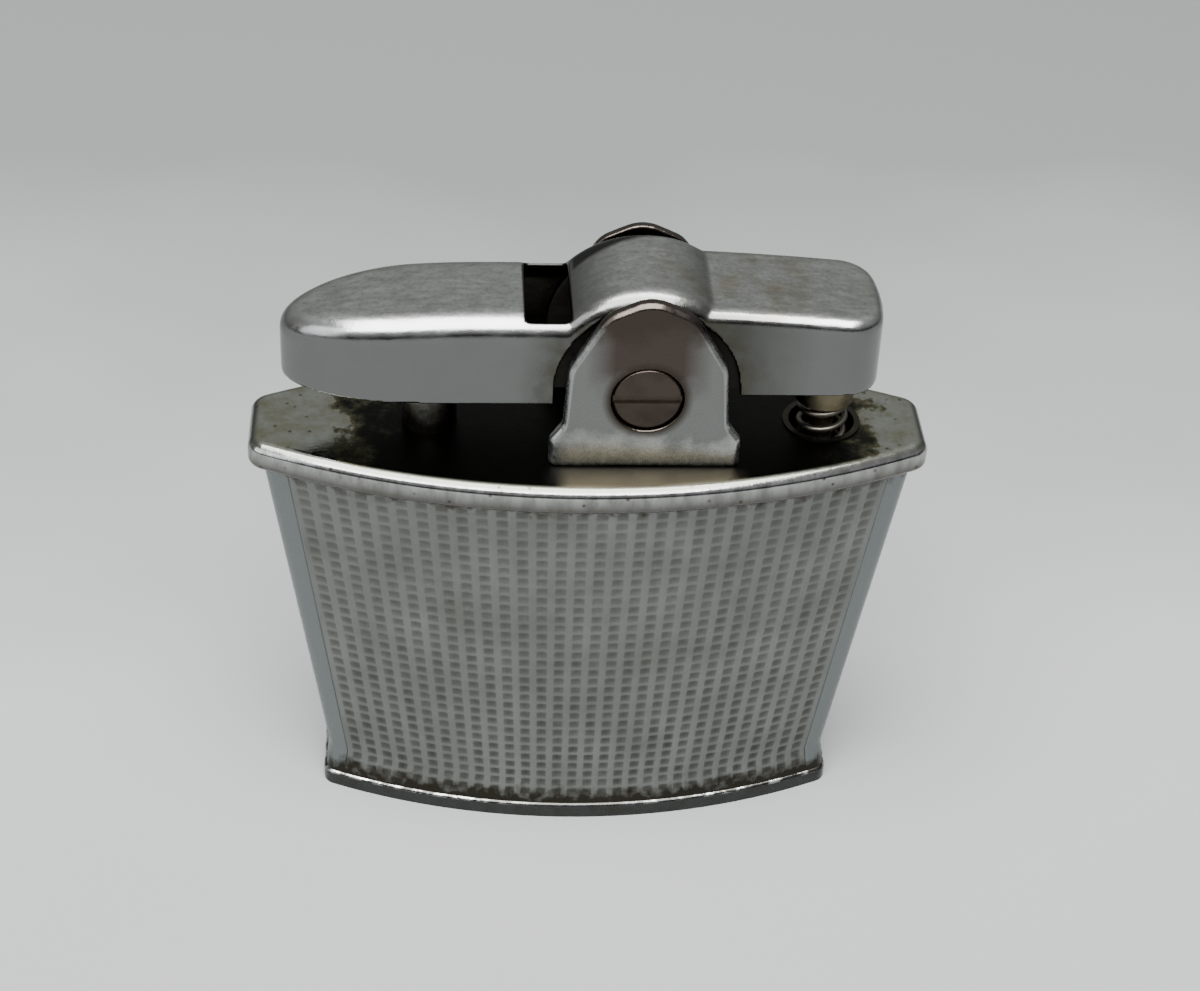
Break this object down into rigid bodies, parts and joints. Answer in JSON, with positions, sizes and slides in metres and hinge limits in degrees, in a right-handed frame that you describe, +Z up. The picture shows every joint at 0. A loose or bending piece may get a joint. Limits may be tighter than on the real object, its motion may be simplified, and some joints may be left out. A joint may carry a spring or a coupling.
{
  "type": "lighter",
  "caption": "Lift-arm pocket lighter: tapered bowed tank, bullnosed deck, bracketed press arm with snuffer and thumb piece, flint wheel, wick and sprung plunger",
  "frame": {"origin": "centre of the bounding box on the resting plane of the foot", "axes": "+X runs along the body towards the thumb piece, -Y is the front, +Z is up"},
  "size_m": [0.046, 0.0168, 0.043],
  "materials": {
    "patterned_case": "stamped pattern, worn and tarnished, with plain bright edge strips",
    "polished_chrome": "polished, olive-brown tarnish round the bracket feet",
    "foot_chrome": "polished, edge worn and pitted",
    "bracket_chrome": "satin with bright worn edges",
    "arm_chrome": "worn, fine scratches and small pits on the flat top",
    "tube_chrome": "satin",
    "steel": "dull, oily",
    "screw_steel": "dark and grimy in the recess",
    "wheel_steel": "hardened, dark",
    "spring_steel": "drawn wire",
    "brass": "plain turned",
    "plunger_brass": "plated, plating worn through, brown",
    "ferrocerium": "matt",
    "gasket": "pressed fibre",
    "wick_cotton": "braided cotton, charred top",
    "cotton": "cotton wool",
    "felt": "pressed felt"
  },
  "bodies": {
    "tank": {"case_shell": "patterned_case", "deck_plate": "polished_chrome", "base_foot": "foot_chrome", "front_bracket": "bracket_chrome", "rear_bracket": "bracket_chrome", "axle_sleeve": "steel", "axle_screws": "screw_steel", "wick_tube": "tube_chrome", "wick": "wick_cotton", "cotton_lower": "cotton", "cotton_middle": "cotton", "cotton_upper": "cotton", "felt_pad": "felt", "flint_tube": "brass", "filler_bush": "brass", "spring_well": "tube_chrome"},
    "arm": {"lift_arm": "arm_chrome", "pivot_yoke": "steel", "snuffer_stem": "brass", "snuffer_spring": "spring_steel", "pawl_pin": "steel", "pawl_spring": "spring_steel"},
    "cup": {"snuffer_cup": "tube_chrome"},
    "pawl": {"pawl": "steel"},
    "wheel": {"flint_wheel": "wheel_steel", "ratchet_wheel": "wheel_steel"},
    "plunger": {"return_plunger": "plunger_brass", "return_spring": "spring_steel"},
    "feed": {"flint": "ferrocerium", "flint_follower": "brass"},
    "flint_plug": {"flint_screw": "screw_steel", "flint_spring": "spring_steel"},
    "filler_plug": {"filler_screw": "screw_steel", "filler_gasket": "gasket"}
  },
  "joints": [
    {"name": "arm_press", "type": "hinge", "parent": "tank", "child": "arm", "pos_m": [0.0034, 0, 0.0357], "axis": [0, 1, 0], "range_deg": [0, 17], "stiffness_Nm_per_rad": 0.1, "springref_deg": -11.46},
    {"name": "wheel_spin", "type": "hinge", "parent": "tank", "child": "wheel", "pos_m": [0.0034, 0, 0.0357], "axis": [0, 1, 0], "range_deg": [0, 17.1]},
    {"name": "plunger_slide", "type": "slide", "parent": "tank", "child": "plunger", "axis": [0, 0, -1], "range_m": [0, 0.00396], "deforming": ["return_spring"]},
    {"name": "cup_float", "type": "slide", "parent": "arm", "child": "cup", "axis": [0, 0, 1], "range_m": [0, 0.0004], "stiffness_N_per_m": 120, "springref_m": -0.002, "deforming": ["snuffer_spring"]},
    {"name": "pawl_swing", "type": "hinge", "parent": "arm", "child": "pawl", "pos_m": [0.00436, 0, 0.04117], "axis": [0, -1, 0], "range_deg": [0, 4], "stiffness_Nm_per_rad": 0.002, "springref_deg": -17.19},
    {"name": "flint_feed", "type": "slide", "parent": "tank", "child": "feed", "axis": [0, 0, 1], "range_m": [-0.0008, 0], "stiffness_N_per_m": 300, "springref_m": 0.004, "deforming": ["flint_spring"]},
    {"name": "flint_screw_out", "type": "slide", "parent": "tank", "child": "flint_plug", "axis": [0, 0, -1], "range_m": [0, 0.008]},
    {"name": "filler_screw_out", "type": "slide", "parent": "tank", "child": "filler_plug", "axis": [0, 0, -1], "range_m": [0, 0.006]}
  ],
  "couplings": [
    {"joint": "wheel_spin", "follows": "arm_press", "ratio": 1},
    {"joint": "plunger_slide", "follows": "arm_press", "m_per_rad": 0.01325}
  ]
}
